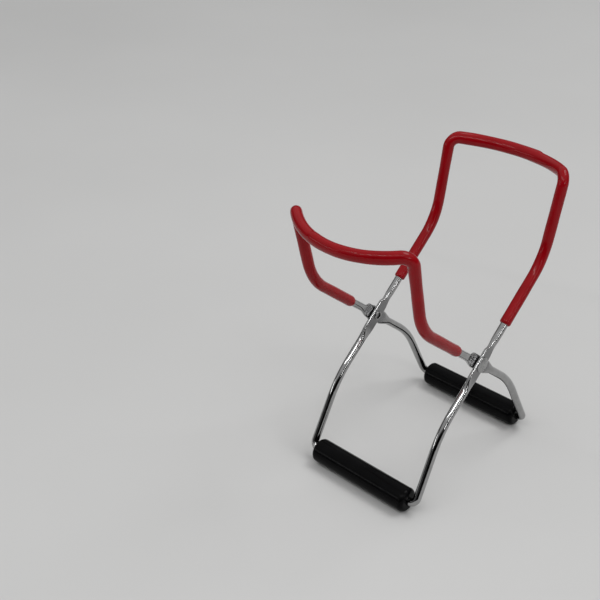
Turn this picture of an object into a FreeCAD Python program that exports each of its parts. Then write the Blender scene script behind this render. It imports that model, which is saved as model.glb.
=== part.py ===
import FreeCAD, Part
import math
import os

V = FreeCAD.Vector

# Jar lifter standing on its two grips with the jaws up.
# Millimetres, +Z up, +X along the pivot axis, origin on the floor between the grips.
# The rear-jaw frame has its grip at the front (-Y) and its jaw at the back (+Y).
# The front-jaw frame is the same part turned half a turn about Z.

# Bent wire
WIRE_R = 2.4                # 4.8 mm (3/16 in) chromed wire
PIVOT_HALF_SPAN = 40.0      # pivot centre from the middle of the tool
PIVOT_HEIGHT = 78.7
BLADE_ANGLE = 40.3          # slope of the wire through the pivot, from horizontal
LEG_ANGLE = 62.6            # slope of the leg below its bend
ARM_ANGLE = 76.9            # slope of the arm above its bend
PIVOT_TO_LEG_BEND = 46.2
PIVOT_TO_ARM_BEND = 72.9
ARM_BEND_TO_JAW = 52.3
LEG_BEND_RADIUS = 64.5
ARM_BEND_RADIUS = 39.0
JAW_CORNER_RADIUS = 6.3
GRIP_BEND_RADIUS = 4.4
GRIP_HALF_SPAN = 40.7       # leg from the middle of the tool, at the grip
JAW_HALF_SPAN = 41.3        # arm from the middle of the tool, at the jaw
JAW_BOW_ANGLE = 40.2        # angle of the jaw bar to the pivot axis at its ends
JAW_DROOP_ANGLE = 10.8      # the bowed bar leans down from horizontal by this much

# Flattened zone round each pivot
BLADE_THICKNESS = 2.1
BLADE_WIDTH = 8.6
BLADE_END_HALF = 20.0       # the wire is round again from here
PRESS_FLAT_HALF = 8.0       # pressed to full thinness to this distance from the pivot
JAW_SHOULDER = (7.6, 11.6)  # full width to here and round width from here, jaw side
LEG_SHOULDER = (8.4, 19.0)  # the same on the leg side
BLADE_STATIONS = 16         # sections along each half of the blade
SECTION_POINTS = 24
FLAT_EXPONENT = 4.0         # squareness of the flattened section, 2 is an ellipse
SPLICE_OVERLAP = 0.5        # blade ends run into the round wire by this much
SPLICE_SHRINK = 0.985       # and are this much smaller there
BLADE_GAP = 0.3             # between the two frames at a pivot
FRAME_OFFSET = (BLADE_THICKNESS + BLADE_GAP) / 2.0

# Vinyl jaw coating
COAT_R = 3.5
COAT_START = 27.0           # from the pivot
COAT_END_ROUNDING = 0.9

# Grips
GRIP_R = 7.6
GRIP_LENGTH = 72.0
GRIP_END_ROUNDING = 2.6
GRIP_BORE_CLEARANCE = 0.05
WIRE_IN_GRIP = 24.0         # length of wire inside each end of a grip

# Semi-tubular rivets
RIVET_SHANK_R = 2.0
RIVET_RUNNING_CLEARANCE = 0.06
RIVET_END_PLAY = 0.08
RIVET_HEAD_R = 4.8
RIVET_HEAD_HEIGHT = 1.5
RIVET_HEAD_RIM = 0.4
RIVET_TAIL_R = 2.85
RIVET_TAIL_HEIGHT = 1.0
RIVET_TAIL_RIM = 0.35
RIVET_HOLE_R = 1.6
RIVET_HOLE_DEPTH = 3.8

HALF_TURN = 180.0


def slope(angle, outward=1.0):
    """Unit vector in the YZ plane, rising at `angle` degrees."""
    a = math.radians(angle)
    return V(0.0, outward * math.cos(a), math.sin(a))


def wire_corners():
    """Corner points of the right half of the rear-jaw frame, grip to jaw."""
    pivot = V(PIVOT_HALF_SPAN, 0.0, PIVOT_HEIGHT)
    leg_bend = pivot - slope(BLADE_ANGLE) * PIVOT_TO_LEG_BEND
    drop = leg_bend.z - GRIP_R
    grip_y = leg_bend.y - drop / math.tan(math.radians(LEG_ANGLE))
    grip_corner = V(GRIP_HALF_SPAN, grip_y, GRIP_R)
    grip_end = V(GRIP_LENGTH / 2.0 - WIRE_IN_GRIP, grip_y, GRIP_R)
    arm_bend = pivot + slope(BLADE_ANGLE) * PIVOT_TO_ARM_BEND
    jaw = arm_bend + slope(ARM_ANGLE) * ARM_BEND_TO_JAW
    jaw.x = JAW_HALF_SPAN
    return grip_end, grip_corner, leg_bend, pivot, arm_bend, jaw


def jaw_directions():
    """Inward direction of the jaw bar at its right end, and outward direction of its bow."""
    bow = math.radians(JAW_BOW_ANGLE)
    outward = slope(-JAW_DROOP_ANGLE)
    inward = V(-math.cos(bow), 0.0, 0.0) + outward * math.sin(bow)
    return inward, outward


def bend(before, corner, direction, radius):
    """Arc that turns from the line before-corner into `direction`."""
    arriving = (corner - before).normalize()
    turn = math.acos(max(-1.0, min(1.0, arriving.dot(direction))))
    reach = radius * math.tan(turn / 2.0)
    start = corner - arriving * reach
    end = corner + direction * reach
    inner = (direction - arriving).normalize()
    middle = corner + inner * (radius / math.cos(turn / 2.0) - radius)
    return start, middle, end


def chain(start, corners, radii, last_direction):
    """Edges of a line with rounded corners, and its end point."""
    edges = []
    here = start
    for i, corner in enumerate(corners):
        if i + 1 < len(corners):
            direction = (corners[i + 1] - corner).normalize()
        else:
            direction = last_direction
        first, middle, last = bend(here, corner, direction, radii[i])
        edges.append(Part.makeLine(here, first))
        edges.append(Part.Arc(first, middle, last).toShape())
        here = last
    return edges, here


def mirrored(edge):
    """The same edge on the other side of the tool."""
    return edge.mirror(V(0, 0, 0), V(1, 0, 0))


def leg_path():
    """Centre line from inside the grip up to the blade, right-hand side."""
    grip_end, grip_corner, leg_bend, pivot, arm_bend, jaw = wire_corners()
    up = slope(BLADE_ANGLE)
    edges, here = chain(grip_end, [grip_corner, leg_bend],
                        [GRIP_BEND_RADIUS, LEG_BEND_RADIUS], up)
    edges.append(Part.makeLine(here, pivot - up * BLADE_END_HALF))
    return edges


def jaw_path(start_distance):
    """Centre line over the jaw, from `start_distance` above one pivot to the same on the other."""
    grip_end, grip_corner, leg_bend, pivot, arm_bend, jaw = wire_corners()
    inward, outward = jaw_directions()
    start = pivot + slope(BLADE_ANGLE) * start_distance
    side, bar_end = chain(start, [arm_bend, jaw], [ARM_BEND_RADIUS, JAW_CORNER_RADIUS], inward)
    bow = math.radians(JAW_BOW_ANGLE)
    bar_radius = bar_end.x / math.sin(bow)
    crown = V(0.0, bar_end.y, bar_end.z) + outward * (bar_radius * (1.0 - math.cos(bow)))
    bar = Part.Arc(bar_end, crown, V(-bar_end.x, bar_end.y, bar_end.z)).toShape()
    other_side = [mirrored(e) for e in reversed(side)]
    return side + [bar] + other_side


def tube(edges, radius):
    """Solid round rod along a chain of edges."""
    path = Part.Wire(edges)
    first = path.Edges[0]
    start = first.valueAt(first.FirstParameter)
    tangent = first.tangentAt(first.FirstParameter)
    profile = Part.Wire(Part.makeCircle(radius, start, tangent))
    return path.makePipeShell([profile], True, False)


def section(centre, along, half_thickness, half_width, exponent):
    """Closed superellipse section across the wire, thin in X."""
    across = along.cross(V(1, 0, 0))
    points = []
    for i in range(SECTION_POINTS):
        a = 2.0 * math.pi * i / SECTION_POINTS
        c, s = math.cos(a), math.sin(a)
        x = math.copysign(abs(c) ** (2.0 / exponent), c) * half_thickness
        w = math.copysign(abs(s) ** (2.0 / exponent), s) * half_width
        points.append(centre + V(x, 0, 0) + across * w)
    curve = Part.BSplineCurve()
    curve.interpolate(points, PeriodicFlag=True)
    return Part.Wire(curve.toShape())


def ease(distance, start, end):
    """0 before start, 1 after end, smooth between."""
    t = max(0.0, min(1.0, (distance - start) / (end - start)))
    return t * t * (3.0 - 2.0 * t)


def blade(pivot):
    """Flattened length of wire through a pivot, from round to flat to round."""
    along = slope(BLADE_ANGLE)
    sections = []
    for i in range(-BLADE_STATIONS, BLADE_STATIONS + 1):
        distance = BLADE_END_HALF * i / BLADE_STATIONS
        shoulder = JAW_SHOULDER if i > 0 else LEG_SHOULDER
        thicken = ease(abs(distance), PRESS_FLAT_HALF, BLADE_END_HALF)
        narrow = ease(abs(distance), shoulder[0], shoulder[1])
        half_t = BLADE_THICKNESS / 2.0 + (WIRE_R - BLADE_THICKNESS / 2.0) * thicken
        half_w = BLADE_WIDTH / 2.0 + (WIRE_R - BLADE_WIDTH / 2.0) * narrow
        exponent = FLAT_EXPONENT + (2.0 - FLAT_EXPONENT) * thicken
        if abs(i) == BLADE_STATIONS:
            distance += math.copysign(SPLICE_OVERLAP, i)
            half_t = half_w = WIRE_R * SPLICE_SHRINK
        sections.append(section(pivot + along * distance, along, half_t, half_w, exponent))
    return Part.makeLoft(sections, True, False)


def wire_frame(hole_radius):
    """One bent wire: two legs, two flattened pivots, two arms and the bowed jaw bar."""
    pivot = wire_corners()[3]
    legs = leg_path()
    pieces = [tube(jaw_path(BLADE_END_HALF), WIRE_R)]
    for side in (1, -1):
        edges = legs if side > 0 else [mirrored(e) for e in legs]
        here = V(side * pivot.x, pivot.y, pivot.z)
        pieces.append(tube(edges, WIRE_R))
        pieces.append(blade(here))
    body = pieces[0].multiFuse(pieces[1:])
    for side in (1, -1):
        start = V(side * pivot.x - BLADE_WIDTH, pivot.y, pivot.z)
        body = body.cut(Part.makeCylinder(hole_radius, 2.0 * BLADE_WIDTH, start, V(1, 0, 0)))
    return body.translated(V(FRAME_OFFSET, 0, 0)).Solids[0]


def coating(frame):
    """Vinyl over the arms and jaw bar of a frame, open where the wire leaves it."""
    outer = tube(jaw_path(COAT_START), COAT_R).translated(V(FRAME_OFFSET, 0, 0))
    rims = [e for e in outer.Edges if is_rim(e)]
    outer = outer.makeFillet(COAT_END_ROUNDING, rims)
    return outer.cut(frame).Solids[0]


def is_rim(edge):
    """True for the circle round an end of the coating."""
    pivot = wire_corners()[3]
    plane_point = pivot + slope(BLADE_ANGLE) * COAT_START
    height = (edge.CenterOfMass - plane_point).dot(slope(BLADE_ANGLE))
    round_edge = abs(edge.Length - 2.0 * math.pi * COAT_R) < COAT_END_ROUNDING
    return round_edge and abs(height) < COAT_END_ROUNDING / 10.0


def grip():
    """Round grip on the front pair of legs, bored for the wire ends."""
    y = wire_corners()[1].y
    start = V(FRAME_OFFSET - GRIP_LENGTH / 2.0, y, GRIP_R)
    body = Part.makeCylinder(GRIP_R, GRIP_LENGTH, start, V(1, 0, 0))
    rims = [e for e in body.Edges if isinstance(e.Curve, Part.Circle)]
    body = body.makeFillet(GRIP_END_ROUNDING, rims)
    bore = Part.makeCylinder(WIRE_R + GRIP_BORE_CLEARANCE, GRIP_LENGTH, start, V(1, 0, 0))
    return body.cut(bore)


def rivet():
    """Right-hand rivet: domed head outside, rolled hollow tail inside."""
    stack = BLADE_THICKNESS + BLADE_GAP / 2.0 + RIVET_END_PLAY
    head = dome(RIVET_HEAD_R, RIVET_HEAD_HEIGHT, RIVET_HEAD_RIM)
    tail = dome(RIVET_TAIL_R, RIVET_TAIL_HEIGHT, RIVET_TAIL_RIM)
    tail.rotate(V(0, 0, 0), V(0, 0, 1), HALF_TURN)
    head.translate(V(stack, 0, 0))
    tail.translate(V(-stack, 0, 0))
    shank = Part.makeCylinder(RIVET_SHANK_R, 2.0 * stack, V(-stack, 0, 0), V(1, 0, 0))
    tip = -stack - RIVET_TAIL_HEIGHT
    hole = Part.makeCylinder(RIVET_HOLE_R, RIVET_HOLE_DEPTH, V(tip, 0, 0), V(1, 0, 0))
    body = shank.multiFuse([head, tail]).cut(hole)
    return body.translated(V(PIVOT_HALF_SPAN, 0, PIVOT_HEIGHT)).Solids[0]


def dome(radius, height, rim):
    """Shallow domed disc on the X axis, its flat face at the origin."""
    rise = height - rim
    ball = (radius * radius + rise * rise) / (2.0 * rise)
    half_angle = math.asin(radius / ball) / 2.0
    edge_top = V(rim, radius, 0)
    middle = V(height - ball + ball * math.cos(half_angle), ball * math.sin(half_angle), 0)
    crown = V(height, 0, 0)
    outline = [
        Part.makeLine(V(0, 0, 0), V(0, radius, 0)),
        Part.makeLine(V(0, radius, 0), edge_top),
        Part.Arc(edge_top, middle, crown).toShape(),
        Part.makeLine(crown, V(0, 0, 0)),
    ]
    face = Part.Face(Part.Wire(outline))
    return face.revolve(V(0, 0, 0), V(1, 0, 0), 2.0 * HALF_TURN)


def turned(shape):
    """The same piece on the other half of the tool."""
    copy = shape.copy()
    copy.rotate(V(0, 0, 0), V(0, 0, 1), HALF_TURN)
    return copy


fixed_frame = wire_frame(RIVET_SHANK_R)
moving_frame = wire_frame(RIVET_SHANK_R + RIVET_RUNNING_CLEARANCE)
jaw_coat = coating(fixed_frame)
front_grip = grip()
right_rivet = rivet()

pieces = {
    "wire_frame_rear_jaw": fixed_frame,
    "wire_frame_front_jaw": turned(moving_frame),
    "vinyl_coat_rear_jaw": jaw_coat,
    "vinyl_coat_front_jaw": turned(jaw_coat),
    "grip_front": front_grip,
    "grip_rear": turned(front_grip),
    "rivet_right": right_rivet,
    "rivet_left": turned(right_rivet),
}

os.makedirs("parts", exist_ok=True)
for name, shape in pieces.items():
    shape.exportStep("parts/" + name + ".step")
    print(name, shape.isValid(), len(shape.Solids), round(shape.Volume, 1))
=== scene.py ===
import math

import bmesh
import bpy
import numpy as np
from mathutils import Matrix, Vector


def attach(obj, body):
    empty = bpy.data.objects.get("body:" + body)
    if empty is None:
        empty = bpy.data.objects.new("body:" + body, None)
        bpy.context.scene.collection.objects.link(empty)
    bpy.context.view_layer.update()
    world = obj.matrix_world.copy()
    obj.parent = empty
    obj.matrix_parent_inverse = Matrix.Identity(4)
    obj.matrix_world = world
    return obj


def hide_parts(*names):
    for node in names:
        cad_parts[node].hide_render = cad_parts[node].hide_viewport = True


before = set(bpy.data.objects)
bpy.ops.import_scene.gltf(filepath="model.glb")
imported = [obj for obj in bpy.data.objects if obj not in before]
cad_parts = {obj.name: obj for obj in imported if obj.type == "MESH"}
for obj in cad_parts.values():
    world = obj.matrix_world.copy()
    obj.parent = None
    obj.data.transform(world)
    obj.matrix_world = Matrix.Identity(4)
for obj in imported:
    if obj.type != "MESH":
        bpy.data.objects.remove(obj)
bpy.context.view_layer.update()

MM = 0.001

# Wire centre line, in millimetres, for the frame whose jaw is at the back
WIRE_R = 2.4
PIVOT = np.array([40.0, 0.0, 78.7])
BLADE_ANGLE = 40.3
LEG_ANGLE = 62.6
ARM_ANGLE = 76.9
PIVOT_TO_LEG_BEND = 46.2
PIVOT_TO_ARM_BEND = 72.9
ARM_BEND_TO_JAW = 52.3
LEG_BEND_RADIUS = 64.5
ARM_BEND_RADIUS = 39.0
JAW_CORNER_RADIUS = 6.3
GRIP_BEND_RADIUS = 4.4
GRIP_HALF_SPAN = 40.7
JAW_HALF_SPAN = 41.3
JAW_BOW_ANGLE = 40.2
JAW_DROOP_ANGLE = 10.8
FRAME_OFFSET = 1.2
STEP = 0.55                 # spacing of rings along the wire
BEND_STEP = math.radians(3.0)

# Flattened blades
BLADE_HALF_THICKNESS = 1.05
BLADE_HALF_WIDTH = 4.35
BLADE_BULGE = 1.2           # half thickness the edges would reach before the flats are pressed
BLADE_SQUARENESS = 4.0      # superellipse exponent of the pressed section
JAW_SHOULDER_INNER = (8.0, 11.2)    # full width to here, round width from here
JAW_SHOULDER_OUTER = (5.0, 14.5)
LEG_SHOULDER = (8.4, 19.0)
PRESS_RUN = (8.0, 20.0)             # the same for the pressed thickness, both sides
BULGE_FADE = 3.0                    # the bulge is gone when a third of the pressing is
MIN_FLAT_ANGLE = 0.05               # radians, keeps a narrow flat where the wire is round
FLAT_POINTS, ARC_POINTS = 6, 22     # ring vertices on each flat and each rounded edge
DULL_FROM, DULL_RUN = 9.0, 9.0      # the dull pressed skin fades out over this run

# Coating
COAT_START = 27.0
COAT_ARM_R = 3.36
COAT_JAW_R = 3.5
COAT_REAR_TAPER, COAT_FRONT_TAPER = 1.6, 3.2    # length of the rounded ends
COAT_AROUND = 40            # vertices round the coat
COAT_SKIN = 0.04            # thickness left at the very end
COAT_THICKENS = (90.0, 60.0)        # from here, over this run, the coat grows to the jaw radius
COAT_SWELLS = [(0.05, 0.11, 0.7), (0.035, 0.29, 2.1)]   # height, waves per mm, phase
RIDGE_HEIGHT = 0.8          # run of thicker vinyl along the top of the jaw bar
RIDGE_ANGLE = 62.0
RIDGE_STEP = (12.0, 3.0)    # to the right of here, over this run, the ridge drops
RIDGE_DROP = 0.65
BAR_BLEND = (0.35, 0.4)     # the ridge grows in as the wire turns to run along X

# Grips
GRIP_R = 7.6
GRIP_LENGTH = 72.0
GRIP_ROUNDING = 2.6
GRIP_BORE_R = 2.45
WIRE_IN_GRIP = 24.0

# Rivets
RIVET_STACK = 2.33          # half the length between the head and the tail
RIVET_AROUND = 48           # vertices round a rivet
RIVET_HEAD_R = 4.8
RIVET_HEAD_RISE = 1.1       # height of the dome above its rim
RIVET_HEAD_ROUND = 0.25     # radius of the rim of the head
RIVET_HEAD_BASE = 0.2       # the dome starts this far inside the rim
RIVET_SHANK_R = 2.0
AXIS_R = 0.02               # smallest radius, so that no ring shrinks to a point
RIVET_DOME_STEPS = 13
RIVET_TAIL_R = 2.85
RIVET_HOLE_R = 1.85

# Studio, in metres
FLOOR_HALF_SIZE = 4.0
LIGHTS = [                  # name, place, target, size, watts
    ("overhead", (0.45, 0.75, 1.9), (0, 0, 0.08), (1.1, 0.9), 14.3),
    ("low_window", (-0.98, -1.23, 0.5), (0, 0, 0.05), (1.0, 0.12), 1.6),
    ("ceiling_lamp", (0.2, -0.8, 1.25), (0, 0, 0.1), (1.6, 0.05), 3.6),
    ("tall_window", (1.5, -0.28, 0.68), (0, 0, 0.1), (1.2, 0.055), 2.6),
]

# Camera, in degrees and millimetres
CAM_AZIMUTH, CAM_ELEVATION, CAM_ROLL = 44.2, 31.07, 0.554
CAM_DISTANCE, CAM_SHIFT_X, CAM_SHIFT_Y = 735.2, 76.32, -90.24
CAM_LENS, CAM_SENSOR = 68.97, 36.0
DARK_SIDE = (0.6, -0.78, 0.18)      # direction of the dark part of the room

RIGHT = np.array([1.0, 0.0, 0.0])
MIRROR_X = np.array([-1.0, 1.0, 1.0])


def unit(v):
    return v / np.linalg.norm(v)


def slope(angle):
    a = math.radians(angle)
    return np.array([0.0, math.cos(a), math.sin(a)])


def ease(t):
    t = np.clip(t, 0.0, 1.0)
    return t * t * (3.0 - 2.0 * t)


# ---------------------------------------------------------------- centre line

def sample_line(a, b):
    n = max(2, int(np.linalg.norm(b - a) / STEP))
    return [a + (b - a) * i / n for i in range(n)]


def sample_corner(before, corner, direction, radius):
    """Points round a bend and the point where the bend ends."""
    arriving = unit(corner - before)
    turn = math.acos(np.clip(arriving @ direction, -1.0, 1.0))
    reach = radius * math.tan(turn / 2.0)
    start = corner - arriving * reach
    to_centre = unit(direction - arriving * (direction @ arriving))
    centre = start + to_centre * radius
    n = max(6, int(turn / BEND_STEP), int(turn * radius / STEP))
    points = []
    for i in range(n):
        a = turn * i / n
        points.append(centre - to_centre * radius * math.cos(a) + arriving * radius * math.sin(a))
    return start, points, corner + direction * reach


def half_path():
    """Right half of the wire from inside the grip to the middle of the jaw bar."""
    leg_bend = PIVOT - slope(BLADE_ANGLE) * PIVOT_TO_LEG_BEND
    grip_y = leg_bend[1] - (leg_bend[2] - GRIP_R) / math.tan(math.radians(LEG_ANGLE))
    grip_corner = np.array([GRIP_HALF_SPAN, grip_y, GRIP_R])
    grip_end = np.array([GRIP_LENGTH / 2.0 - WIRE_IN_GRIP, grip_y, GRIP_R])
    arm_bend = PIVOT + slope(BLADE_ANGLE) * PIVOT_TO_ARM_BEND
    jaw = arm_bend + slope(ARM_ANGLE) * ARM_BEND_TO_JAW
    jaw[0] = JAW_HALF_SPAN
    bow = math.radians(JAW_BOW_ANGLE)
    outward = slope(-JAW_DROOP_ANGLE)
    inward = np.array([-math.cos(bow), 0.0, 0.0]) + outward * math.sin(bow)
    corners = [
        (grip_corner, GRIP_BEND_RADIUS, unit(leg_bend - grip_corner)),
        (leg_bend, LEG_BEND_RADIUS, slope(BLADE_ANGLE)),
        (arm_bend, ARM_BEND_RADIUS, unit(jaw - arm_bend)),
        (jaw, JAW_CORNER_RADIUS, inward),
    ]
    points = []
    here = grip_end
    for corner, radius, direction in corners:
        start, bend, end = sample_corner(here, corner, direction, radius)
        points += sample_line(here, start) + bend
        here = end
    bar_radius = here[0] / math.sin(bow)
    centre = here - bar_radius * (math.sin(bow) * RIGHT + math.cos(bow) * outward)
    n = int(bow * bar_radius / STEP)
    for i in range(n + 1):
        a = bow * (1.0 - i / n)
        points.append(centre + bar_radius * (math.sin(a) * RIGHT + math.cos(a) * outward))
    return np.array(points)


def transport(side, tangent):
    """Carry a side vector on to the next tangent without twist."""
    return unit(side - tangent * (side @ tangent))


def full_path():
    """Whole wire: points, tangents, side vectors, distance from the nearer pivot, and length."""
    right = half_path()
    points = np.vstack([right, right[-2::-1] * MIRROR_X])
    tangents = np.gradient(points, axis=0)
    tangents /= np.linalg.norm(tangents, axis=1)[:, None]
    length = np.concatenate([[0.0], np.cumsum(np.linalg.norm(np.diff(points, axis=0), axis=1))])
    half = len(right)
    at_pivot = int(np.argmin(np.linalg.norm(right - PIVOT, axis=1)))
    along = unit(slope(BLADE_ANGLE))
    pivot_length = length[at_pivot] - (right[at_pivot] - PIVOT) @ along
    middle = length[half - 1]
    from_pivot = np.where(length <= middle, length - pivot_length, 2.0 * middle - length - pivot_length)
    sides = np.zeros_like(points)
    sides[at_pivot] = RIGHT
    for i in range(at_pivot + 1, half):
        sides[i] = transport(sides[i - 1], tangents[i])
    for i in range(at_pivot - 1, -1, -1):
        sides[i] = transport(sides[i + 1], tangents[i])
    sides[half:] = sides[half - 2::-1] * MIRROR_X
    return points, tangents, sides, from_pivot, length


# ---------------------------------------------------------------- meshes

def mesh_from_rings(name, rings, u_values, closed_tube=False, sharp=None):
    """Skin a list of rings of points (millimetres) and cap both ends."""
    rings = np.asarray(rings)
    count, around = rings.shape[0], rings.shape[1]
    verts = [tuple(p * MM) for p in rings.reshape(-1, 3)]
    faces, uvs = [], []
    last = count if closed_tube else count - 1
    for i in range(last):
        k = (i + 1) % count
        for j in range(around):
            m = (j + 1) % around
            faces.append((i * around + j, i * around + m, k * around + m, k * around + j))
            v0, v1 = j / around, (j + 1) / around
            uvs += [(u_values[i], v0), (u_values[i], v1), (u_values[k], v1), (u_values[k], v0)]
    if not closed_tube:
        for i, flip in ((0, True), (count - 1, False)):
            loop = [i * around + j for j in range(around)]
            if flip:
                loop.reverse()
            faces.append(tuple(loop))
            uvs += [(u_values[i], 0.5)] * around
    mesh = bpy.data.meshes.new(name)
    mesh.from_pydata(verts, [], faces)
    layer = mesh.uv_layers.new(name="along")
    flat = np.array(uvs, dtype=float).reshape(-1)
    layer.data.foreach_set("uv", flat)
    mesh.validate()
    mesh.shade_smooth()
    if sharp is not None:
        mesh.set_sharp_from_angle(angle=math.radians(sharp))
    fix_normals(mesh)
    obj = bpy.data.objects.new(name, mesh)
    bpy.context.scene.collection.objects.link(obj)
    return obj


def fix_normals(mesh):
    bm = bmesh.new()
    bm.from_mesh(mesh)
    bmesh.ops.recalc_face_normals(bm, faces=bm.faces)
    bm.to_mesh(mesh)
    bm.free()


def placed(points, rear_jaw):
    """Put a shared shape on the rear-jaw frame, or turn it half a turn for the other."""
    moved = np.asarray(points) + np.array([FRAME_OFFSET, 0.0, 0.0])
    return moved if rear_jaw else moved * np.array([-1.0, -1.0, 1.0])


def facet_angles(theta_c):
    """Ring angles with a vertex exactly at each edge of the two pressed flats."""
    flat = np.linspace(-theta_c, theta_c, FLAT_POINTS, endpoint=False)
    arc = np.linspace(theta_c, math.pi - theta_c, ARC_POINTS, endpoint=False)
    return np.concatenate([flat, arc, flat + math.pi, arc + math.pi])


def half_width(distance, shoulder):
    """Half width of the wire at a distance from the pivot, wide in the blade."""
    narrow = ease((distance - shoulder[0]) / (shoulder[1] - shoulder[0]))
    return BLADE_HALF_WIDTH + (WIRE_R - BLADE_HALF_WIDTH) * narrow


def wire_rings(rear_jaw):
    points, tangents, sides, from_pivot, length = full_path()
    rings = []
    for p, t, s, d in zip(points, tangents, sides, from_pivot):
        w = np.cross(t, s)
        k = ease((abs(d) - PRESS_RUN[0]) / (PRESS_RUN[1] - PRESS_RUN[0]))
        press = BLADE_HALF_THICKNESS + (WIRE_R - BLADE_HALF_THICKNESS) * k
        bulge = (BLADE_BULGE / BLADE_HALF_THICKNESS - 1.0) * max(0.0, 1.0 - BULGE_FADE * k)
        thick = press * (1.0 + bulge)
        power = 2.0 / (BLADE_SQUARENESS + (2.0 - BLADE_SQUARENESS) * k)
        outer = half_width(abs(d), JAW_SHOULDER_OUTER if d >= 0 else LEG_SHOULDER)
        inner = half_width(abs(d), JAW_SHOULDER_INNER if d >= 0 else LEG_SHOULDER)
        theta_c = max(MIN_FLAT_ANGLE, math.acos(min(1.0, (press / thick) ** (1.0 / power))))
        angles = facet_angles(theta_c)
        c, n = np.cos(angles), np.sin(angles)
        x = np.clip(thick * np.sign(c) * np.abs(c) ** power, -press, press)
        y = np.where(n > 0, outer, inner) * np.sign(n) * np.abs(n) ** power
        rings.append(p + x[:, None] * s + y[:, None] * w)
    return placed(rings, rear_jaw), length * MM, from_pivot


def coat_rings(rear_jaw, end_taper):
    points, tangents, sides, from_pivot, length = full_path()
    keep = from_pivot >= COAT_START - 1e-6
    points, tangents, sides = points[keep], tangents[keep], sides[keep]
    from_pivot, length = from_pivot[keep], length[keep]
    angles = np.linspace(0.0, 2.0 * math.pi, COAT_AROUND, endpoint=False)
    top = slope(RIDGE_ANGLE)
    total = length[-1] - length[0]
    rings = []
    for p, t, s, d, l in zip(points, tangents, sides, from_pivot, length - length[0]):
        w = np.cross(t, s)
        direction = np.cos(angles)[:, None] * s + np.sin(angles)[:, None] * w
        near_jaw = ease((d - COAT_THICKENS[0]) / COAT_THICKENS[1])
        radius = COAT_ARM_R + (COAT_JAW_R - COAT_ARM_R) * near_jaw
        radius += sum(h * math.sin(l * waves + phase) for h, waves, phase in COAT_SWELLS)
        on_bar = ease((abs(t[0]) - BAR_BLEND[0]) / BAR_BLEND[1])
        side_run = 1.0 - RIDGE_DROP * ease((p[0] - RIDGE_STEP[0]) / RIDGE_STEP[1])
        ridge = RIDGE_HEIGHT * on_bar * side_run * np.clip(direction @ top, 0.0, 1.0) ** 2
        end = min(l, total - l)
        rounding = math.sqrt(max(0.0, 1.0 - (1.0 - min(1.0, end / end_taper)) ** 2))
        r = WIRE_R + COAT_SKIN + (radius - WIRE_R - COAT_SKIN) * rounding + ridge
        rings.append(p + direction * r[:, None])
    return placed(rings, rear_jaw), length * MM


def lathe(name, profile, centre, sharp=None, around=64):
    """Turned piece about X from a closed profile of (x, radius), in millimetres."""
    rings = []
    for x, r in profile:
        a = np.linspace(0.0, 2.0 * math.pi, around, endpoint=False)
        rings.append(np.stack([np.full(around, x), r * np.cos(a), r * np.sin(a)], axis=1) + centre)
    u = np.concatenate([[0.0], np.cumsum([math.hypot(b[0] - a[0], b[1] - a[1])
                                          for a, b in zip(profile, profile[1:])])]) * MM
    return mesh_from_rings(name, rings, list(u), closed_tube=True, sharp=sharp)


def arc_profile(cx, cr, radius, a0, a1, n):
    out = []
    for i in range(n + 1):
        a = math.radians(a0 + (a1 - a0) * i / n)
        out.append((cx + radius * math.cos(a), cr + radius * math.sin(a)))
    return out


def grip_profile():
    half = GRIP_LENGTH / 2.0
    body = half - GRIP_ROUNDING
    profile = arc_profile(-body, GRIP_R - GRIP_ROUNDING, GRIP_ROUNDING, 180, 90, 10)
    for i in range(1, 40):
        profile.append((-body + 2.0 * body * i / 40, GRIP_R))
    profile += arc_profile(body, GRIP_R - GRIP_ROUNDING, GRIP_ROUNDING, 90, 0, 10)
    profile += [(half, GRIP_BORE_R + 0.5)]
    profile += arc_profile(half - 0.4, GRIP_BORE_R + 0.4, 0.4, 0, -90, 4)
    profile += arc_profile(-half + 0.4, GRIP_BORE_R + 0.4, 0.4, -90, -180, 4)
    profile += [(-half, GRIP_BORE_R + 0.5)]
    return profile


def rivet_profile():
    """Solid domed head outside, rolled hollow tail inside."""
    head = RIVET_STACK
    profile = [(head, RIVET_SHANK_R), (head, RIVET_HEAD_R - 0.15)]
    profile += arc_profile(head + RIVET_HEAD_ROUND, RIVET_HEAD_R - RIVET_HEAD_ROUND,
                           RIVET_HEAD_ROUND, -40, 60, 5)
    rise, base_r = RIVET_HEAD_RISE, RIVET_HEAD_R - RIVET_HEAD_BASE
    ball = (base_r ** 2 + rise ** 2) / (2.0 * rise)
    full = math.asin(base_r / ball)
    for i in range(1, RIVET_DOME_STEPS + 1):
        a = full * (1.0 - i / RIVET_DOME_STEPS)
        x = head + 0.4 + rise - ball + ball * math.cos(a)
        profile.append((x, max(AXIS_R, ball * math.sin(a))))
    rim = (RIVET_TAIL_R - RIVET_HOLE_R) / 2.0
    profile += [(-RIVET_STACK + 3.2, AXIS_R), (-RIVET_STACK + 2.8, 1.2)]
    profile += [(-RIVET_STACK + 1.0, RIVET_HOLE_R - 0.15), (-RIVET_STACK - 0.2, RIVET_HOLE_R)]
    profile += arc_profile(-RIVET_STACK - 0.3, RIVET_HOLE_R + rim, rim, 270, 90, 12)
    profile += [(-RIVET_STACK, RIVET_TAIL_R - 0.1), (-RIVET_STACK, RIVET_SHANK_R)]
    return profile


# ---------------------------------------------------------------- materials

def new_material(name):
    mat = bpy.data.materials.new(name)
    mat.use_nodes = True
    nodes = mat.node_tree.nodes
    links = mat.node_tree.links
    bsdf = nodes["Principled BSDF"]
    return mat, nodes, links, bsdf


def noise(nodes, links, vector, scale, detail=3.0, rough=0.5):
    n = nodes.new("ShaderNodeTexNoise")
    n.inputs["Scale"].default_value = scale
    n.inputs["Detail"].default_value = detail
    n.inputs["Roughness"].default_value = rough
    links.new(vector, n.inputs["Vector"])
    return n.outputs["Fac"]


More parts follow.
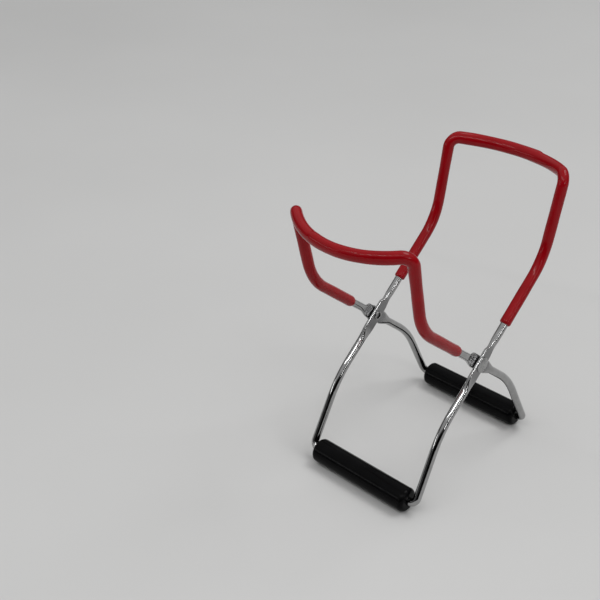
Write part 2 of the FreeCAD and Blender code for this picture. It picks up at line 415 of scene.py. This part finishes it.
def ramp(nodes, links, fac, stops):
    r = nodes.new("ShaderNodeValToRGB")
    links.new(fac, r.inputs["Fac"])
    elements = r.color_ramp.elements
    while len(elements) < len(stops):
        elements.new(0.5)
    for e, (pos, col) in zip(elements, stops):
        e.position = pos
        e.color = (*col, 1.0) if len(col) == 3 else col
    return r.outputs["Color"]


def map_range(nodes, links, fac, low, high):
    m = nodes.new("ShaderNodeMapRange")
    m.inputs["To Min"].default_value = low
    m.inputs["To Max"].default_value = high
    links.new(fac, m.inputs["Value"])
    return m.outputs["Result"]


def mix_colours(nodes, links, blend, a, b):
    m = nodes.new("ShaderNodeMix")
    m.data_type = "RGBA"
    m.blend_type = blend
    m.inputs["Factor"].default_value = 1.0
    links.new(a, m.inputs["A"])
    links.new(b, m.inputs["B"])
    return m.outputs["Result"]


def bump(nodes, links, height, strength, distance):
    b = nodes.new("ShaderNodeBump")
    b.inputs["Strength"].default_value = strength
    b.inputs["Distance"].default_value = distance
    links.new(height, b.inputs["Height"])
    return b.outputs["Normal"]


def stretched_uv(nodes, links, scale):
    uv = nodes.new("ShaderNodeUVMap")
    uv.uv_map = "along"
    m = nodes.new("ShaderNodeMapping")
    m.inputs["Scale"].default_value = scale
    links.new(uv.outputs["UV"], m.inputs["Vector"])
    return m.outputs["Vector"]


def object_coords(nodes):
    return nodes.new("ShaderNodeTexCoord").outputs["Object"]


def chrome_material():
    mat, nodes, links, bsdf = new_material("chromed wire")
    lines = noise(nodes, links, stretched_uv(nodes, links, (25.0, 14.0, 1.0)), 3.0, 4.0, 0.6)
    cloud = noise(nodes, links, object_coords(nodes), 260.0, 3.0)
    pressed = nodes.new("ShaderNodeAttribute")
    pressed.attribute_name = "pressed"
    colour = ramp(nodes, links, cloud, [(0.3, (0.33, 0.33, 0.33)), (0.7, (0.4, 0.4, 0.4))])
    dull = nodes.new("ShaderNodeMix")
    dull.data_type = "RGBA"
    links.new(pressed.outputs["Fac"], dull.inputs["Factor"])
    links.new(colour, dull.inputs["A"])
    dull.inputs["B"].default_value = (0.24, 0.24, 0.243, 1.0)
    links.new(dull.outputs["Result"], bsdf.inputs["Base Color"])
    base_rough = map_range(nodes, links, lines, 0.04, 0.12)
    add = nodes.new("ShaderNodeMath")
    add.operation = "MULTIPLY_ADD"
    links.new(pressed.outputs["Fac"], add.inputs[0])
    add.inputs[1].default_value = 0.22
    links.new(base_rough, add.inputs[2])
    links.new(add.outputs[0], bsdf.inputs["Roughness"])
    bsdf.inputs["Metallic"].default_value = 1.0
    links.new(bump(nodes, links, lines, 0.008, 0.00015), bsdf.inputs["Normal"])
    return mat


def vinyl_material():
    mat, nodes, links, bsdf = new_material("red vinyl")
    cloud = noise(nodes, links, object_coords(nodes), 90.0, 4.0)
    peel = noise(nodes, links, object_coords(nodes), 420.0, 2.0)
    colour = ramp(nodes, links, cloud, [(0.3, (0.26, 0.0016, 0.0045)), (0.7, (0.31, 0.0022, 0.0065))])
    links.new(colour, bsdf.inputs["Base Color"])
    links.new(map_range(nodes, links, cloud, 0.1, 0.2), bsdf.inputs["Roughness"])
    bsdf.inputs["Specular IOR Level"].default_value = 0.2
    links.new(bump(nodes, links, peel, 0.12, 0.0003), bsdf.inputs["Normal"])
    return mat


def plastic_material():
    mat, nodes, links, bsdf = new_material("black plastic")
    cloud = noise(nodes, links, object_coords(nodes), 120.0, 5.0)
    fine = noise(nodes, links, object_coords(nodes), 1400.0, 2.0)
    colour = ramp(nodes, links, cloud, [(0.3, (0.0012, 0.0012, 0.0014)), (0.75, (0.003, 0.003, 0.0033))])
    links.new(colour, bsdf.inputs["Base Color"])
    links.new(map_range(nodes, links, cloud, 0.12, 0.24), bsdf.inputs["Roughness"])
    bsdf.inputs["Specular IOR Level"].default_value = 0.06
    links.new(bump(nodes, links, fine, 0.1, 0.0002), bsdf.inputs["Normal"])
    return mat


def rivet_material():
    mat, nodes, links, bsdf = new_material("rivet steel")
    cloud = noise(nodes, links, object_coords(nodes), 700.0, 4.0)
    colour = ramp(nodes, links, cloud, [(0.3, (0.3, 0.3, 0.3)), (0.7, (0.42, 0.42, 0.42))])
    # Painted shade: inside the hole the steel colour is multiplied down to nearly black, where the deep
    # hole would be dark
    hollow = nodes.new("ShaderNodeAttribute")
    hollow.attribute_name = "hollow"
    painted_hole_shade = ramp(nodes, links, hollow.outputs["Fac"],
                [(0.0, (1.0, 1.0, 1.0)), (1.0, (0.004, 0.004, 0.004))])
    links.new(mix_colours(nodes, links, "MULTIPLY", colour, painted_hole_shade), bsdf.inputs["Base Color"])
    bsdf.inputs["Metallic"].default_value = 1.0
    links.new(map_range(nodes, links, cloud, 0.2, 0.38), bsdf.inputs["Roughness"])
    links.new(bump(nodes, links, cloud, 0.1, 0.0001), bsdf.inputs["Normal"])
    return mat


def floor_material():
    mat, nodes, links, bsdf = new_material("studio_floor")
    cloud = noise(nodes, links, object_coords(nodes), 3.0, 3.0)
    colour = ramp(nodes, links, cloud, [(0.3, (0.6, 0.6, 0.595)), (0.7, (0.63, 0.63, 0.625))])
    links.new(colour, bsdf.inputs["Base Color"])
    bsdf.inputs["Roughness"].default_value = 0.6
    bsdf.inputs["Specular IOR Level"].default_value = 0.2
    return mat


chrome = chrome_material()
vinyl = vinyl_material()
plastic = plastic_material()
rivet_steel = rivet_material()


def paint(obj, mat, node, body):
    obj.data.materials.append(mat)
    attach(obj, body)
    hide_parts(node)


# ---------------------------------------------------------------- the tool

def add_frame(rear_jaw, node, body):
    rings, u, from_pivot = wire_rings(rear_jaw)
    obj = mesh_from_rings("bent_" + node, rings, list(u), sharp=14)
    near_pivot = np.clip(1.0 - (np.abs(from_pivot) - DULL_FROM) / DULL_RUN, 0.0, 1.0)
    one_side = np.concatenate([np.ones(FLAT_POINTS + 1), np.zeros(ARC_POINTS - 1)])
    pressed = np.outer(near_pivot, np.concatenate([one_side, one_side]))
    attribute = obj.data.attributes.new("pressed", "FLOAT", "POINT")
    attribute.data.foreach_set("value", pressed.reshape(-1).astype(np.float32))
    paint(obj, chrome, node, body)


def add_coat(rear_jaw, node, body, end_taper):
    rings, u = coat_rings(rear_jaw, end_taper)
    obj = mesh_from_rings("dipped_" + node, rings, list(u))
    paint(obj, vinyl, node, body)


def add_grip(front, node, body):
    centre = placed(half_path()[0] * np.array([0.0, 1.0, 1.0]), front)
    obj = lathe("turned_" + node, grip_profile(), centre, sharp=50)
    paint(obj, plastic, node, body)


def add_rivet(right, node):
    side = 1.0 if right else -1.0
    profile = [(side * x, r) for x, r in rivet_profile()]
    centre = PIVOT * np.array([side, 1.0, 1.0])
    obj = lathe("set_" + node, profile, centre, sharp=40, around=RIVET_AROUND)
    # Marks the inside of the hole, where the rivet material paints shade as near-black colour
    inside = [1.0 if r <= RIVET_HOLE_R + 0.1 and side * x < 1.0 else 0.0 for x, r in profile]
    attribute = obj.data.attributes.new("hollow", "FLOAT", "POINT")
    attribute.data.foreach_set("value", np.repeat(inside, RIVET_AROUND).astype(np.float32))
    paint(obj, rivet_steel, node, "rear_jaw_half")


add_frame(True, "wire_frame_rear_jaw", "rear_jaw_half")
add_frame(False, "wire_frame_front_jaw", "front_jaw_half")
add_coat(True, "vinyl_coat_rear_jaw", "rear_jaw_half", COAT_REAR_TAPER)
add_coat(False, "vinyl_coat_front_jaw", "front_jaw_half", COAT_FRONT_TAPER)
add_grip(True, "grip_front", "front_grip")
add_grip(False, "grip_rear", "rear_grip")
add_rivet(True, "rivet_right")
add_rivet(False, "rivet_left")


# ---------------------------------------------------------------- studio

def build_floor():
    half = FLOOR_HALF_SIZE
    mesh = bpy.data.meshes.new("studio_floor")
    mesh.from_pydata([(-half, -half, 0), (half, -half, 0), (half, half, 0), (-half, half, 0)],
                     [], [(0, 1, 2, 3)])
    obj = bpy.data.objects.new("studio_floor", mesh)
    bpy.context.scene.collection.objects.link(obj)
    obj.data.materials.append(floor_material())


def area_light(name, place, target, size, power):
    data = bpy.data.lights.new(name, "AREA")
    data.shape = "RECTANGLE"
    data.size, data.size_y = size
    data.energy = power
    obj = bpy.data.objects.new(name, data)
    bpy.context.scene.collection.objects.link(obj)
    obj.location = place
    direction = Vector(target) - Vector(place)
    obj.rotation_euler = direction.to_track_quat("-Z", "Y").to_euler()


def build_world():
    """Pale room with a bright ceiling, dark low down round the camera."""
    world = bpy.data.worlds.new("studio")
    bpy.context.scene.world = world
    world.use_nodes = True
    nodes, links = world.node_tree.nodes, world.node_tree.links
    background = nodes["Background"]
    coords = nodes.new("ShaderNodeTexCoord")
    split = nodes.new("ShaderNodeSeparateXYZ")
    links.new(coords.outputs["Generated"], split.inputs[0])
    room = ramp(nodes, links, split.outputs["Z"],
                [(0.0, (0.05, 0.05, 0.05)), (0.28, (0.1, 0.1, 0.1)),
                 (0.5, (0.5, 0.5, 0.5)), (0.8, (0.62, 0.62, 0.62))])
    dot = nodes.new("ShaderNodeVectorMath")
    dot.operation = "DOT_PRODUCT"
    dot.inputs[1].default_value = DARK_SIDE
    links.new(coords.outputs["Generated"], dot.inputs[0])
    shade = ramp(nodes, links, dot.outputs["Value"],
                 [(0.74, (1.0, 1.0, 1.0)), (0.8, (0.04, 0.04, 0.04)), (1.0, (0.015, 0.015, 0.015))])
    above = ramp(nodes, links, split.outputs["Z"],
                 [(0.5, (0.0, 0.0, 0.0)), (0.62, (1.0, 1.0, 1.0))])
    kept = mix_colours(nodes, links, "LIGHTEN", shade, above)
    both = mix_colours(nodes, links, "MULTIPLY", room, kept)
    links.new(both, background.inputs["Color"])
    background.inputs["Strength"].default_value = 1.0


def build_camera():
    az, el, roll = (math.radians(a) for a in (CAM_AZIMUTH, CAM_ELEVATION, CAM_ROLL))
    back = Vector((math.sin(az) * math.cos(el), -math.cos(az) * math.cos(el), math.sin(el)))
    right = Vector((math.cos(az), math.sin(az), 0.0))
    up = back.cross(right)
    turned_right = right * math.cos(roll) - up * math.sin(roll)
    turned_up = right * math.sin(roll) + up * math.cos(roll)
    place = (-CAM_SHIFT_X * turned_right - CAM_SHIFT_Y * turned_up + CAM_DISTANCE * back) * MM
    data = bpy.data.cameras.new("camera")
    data.sensor_width = CAM_SENSOR
    data.lens = CAM_LENS
    obj = bpy.data.objects.new("camera", data)
    bpy.context.scene.collection.objects.link(obj)
    matrix = Matrix((turned_right, turned_up, back)).transposed().to_4x4()
    matrix.translation = place
    obj.matrix_world = matrix
    bpy.context.scene.camera = obj


build_floor()
build_world()
for light in LIGHTS:
    area_light(*light)
build_camera()
bpy.context.scene.view_settings.view_transform = "Standard"
